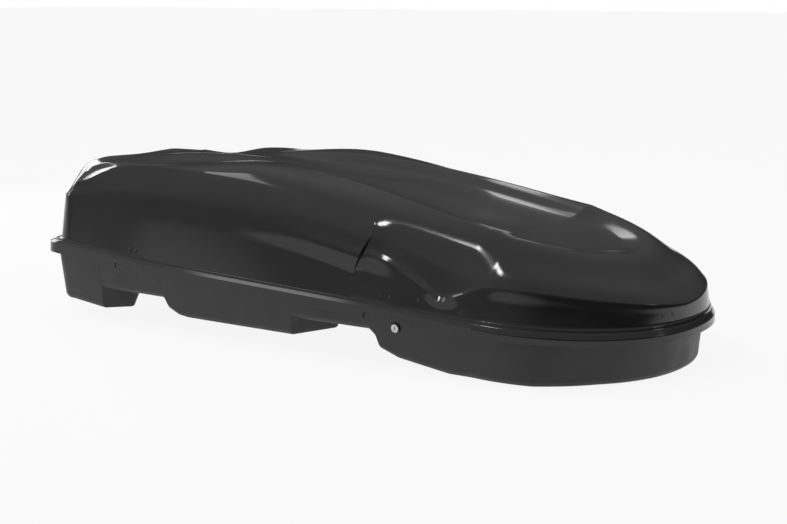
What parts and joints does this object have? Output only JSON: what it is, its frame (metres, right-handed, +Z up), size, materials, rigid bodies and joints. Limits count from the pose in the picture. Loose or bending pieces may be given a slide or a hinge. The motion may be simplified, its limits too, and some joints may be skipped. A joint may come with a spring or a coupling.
{
  "type": "roof box",
  "caption": "Long streamlined roof box with a moulded tub, side-opening lid, hinges, key lock with a hooked locking bar, folding lid stays and floor rails.",
  "frame": {"origin": "under the middle of the box at the height of its lowest point", "axes": "+X to the nose, -Y to the side that opens, +Z up"},
  "size_m": [1.92, 0.842, 0.47],
  "materials": {
    "lid_gloss_black": "gloss",
    "base_matt_black": "fine texture",
    "zinc_plated_steel": "zinc plated",
    "trim_black": "satin",
    "plastic_dark_grey": "satin"
  },
  "bodies": {
    "base": {"lock_housing": "trim_black", "lock_nut": "zinc_plated_steel", "bar_guide_1": "plastic_dark_grey", "bar_guide_2": "plastic_dark_grey", "bar_guide_3": "plastic_dark_grey", "base_shell": "base_matt_black", "hinge_bracket_1": "zinc_plated_steel", "hinge_pin_1": "zinc_plated_steel", "hinge_bracket_2": "zinc_plated_steel", "hinge_pin_2": "zinc_plated_steel", "hinge_bracket_3": "zinc_plated_steel", "hinge_pin_3": "zinc_plated_steel", "stay_pin_front": "zinc_plated_steel", "stay_bracket_front": "zinc_plated_steel", "stay_pin_rear": "zinc_plated_steel", "stay_bracket_rear": "zinc_plated_steel", "floor_rail_1": "zinc_plated_steel", "floor_rail_2": "zinc_plated_steel", "base_rivet_1": "trim_black", "base_rivet_2": "trim_black"},
    "lid": {"striker_1": "zinc_plated_steel", "striker_2": "zinc_plated_steel", "striker_3": "zinc_plated_steel", "lid_shell": "lid_gloss_black", "hinge_leaf_1": "zinc_plated_steel", "hinge_leaf_2": "zinc_plated_steel", "hinge_leaf_3": "zinc_plated_steel", "lid_rib_front": "trim_black", "lid_rib_rear": "trim_black", "lid_rivet_1": "trim_black", "lid_rivet_2": "trim_black", "lid_rivet_3": "trim_black", "lid_rivet_4": "trim_black", "lid_rivet_5": "trim_black", "lid_rivet_6": "trim_black", "lid_rivet_7": "trim_black"},
    "lock_core": {"lock_barrel": "zinc_plated_steel", "lock_cam": "zinc_plated_steel"},
    "locking_bar": {"lock_bar": "zinc_plated_steel", "lock_hook_1": "zinc_plated_steel", "lock_hook_2": "zinc_plated_steel", "lock_hook_3": "zinc_plated_steel"},
    "stay_front": {"stay_arm_front": "zinc_plated_steel", "stay_stud_front": "zinc_plated_steel"},
    "stay_rear": {"stay_arm_rear": "zinc_plated_steel", "stay_stud_rear": "zinc_plated_steel"}
  },
  "joints": [
    {"name": "lid_hinge", "type": "hinge", "parent": "base", "child": "lid", "pos_m": [0.01959, 0.40329, 0.12524], "axis": [-0.999, -0.0228, 0.039], "range_deg": [0, 55]},
    {"name": "lock_turn", "type": "hinge", "parent": "base", "child": "lock_core", "pos_m": [0.31682, -0.38493, 0.10161], "axis": [0.0277, 0.9912, 0.1296], "range_deg": [0, 90]},
    {"name": "bar_slide", "type": "slide", "parent": "base", "child": "locking_bar", "axis": [0.999, -0.0228, -0.039], "range_m": [0, 0.01796]},
    {"name": "stay_front_turn", "type": "hinge", "parent": "base", "child": "stay_front", "pos_m": [0.84353, 0.21702, 0.1153], "axis": [-0.999, -0.0228, 0.039], "range_deg": [0, 93.5]},
    {"name": "stay_rear_turn", "type": "hinge", "parent": "base", "child": "stay_rear", "pos_m": [-0.86247, 0.17814, 0.18183], "axis": [-0.999, -0.0228, 0.039], "range_deg": [0, 93.5]}
  ],
  "couplings": [
    {"joint": "lock_turn", "follows": "bar_slide", "rad_per_m": 87.456},
    {"joint": "stay_front_turn", "follows": "lid_hinge", "ratio": 1.7},
    {"joint": "stay_rear_turn", "follows": "lid_hinge", "ratio": 1.7}
  ]
}
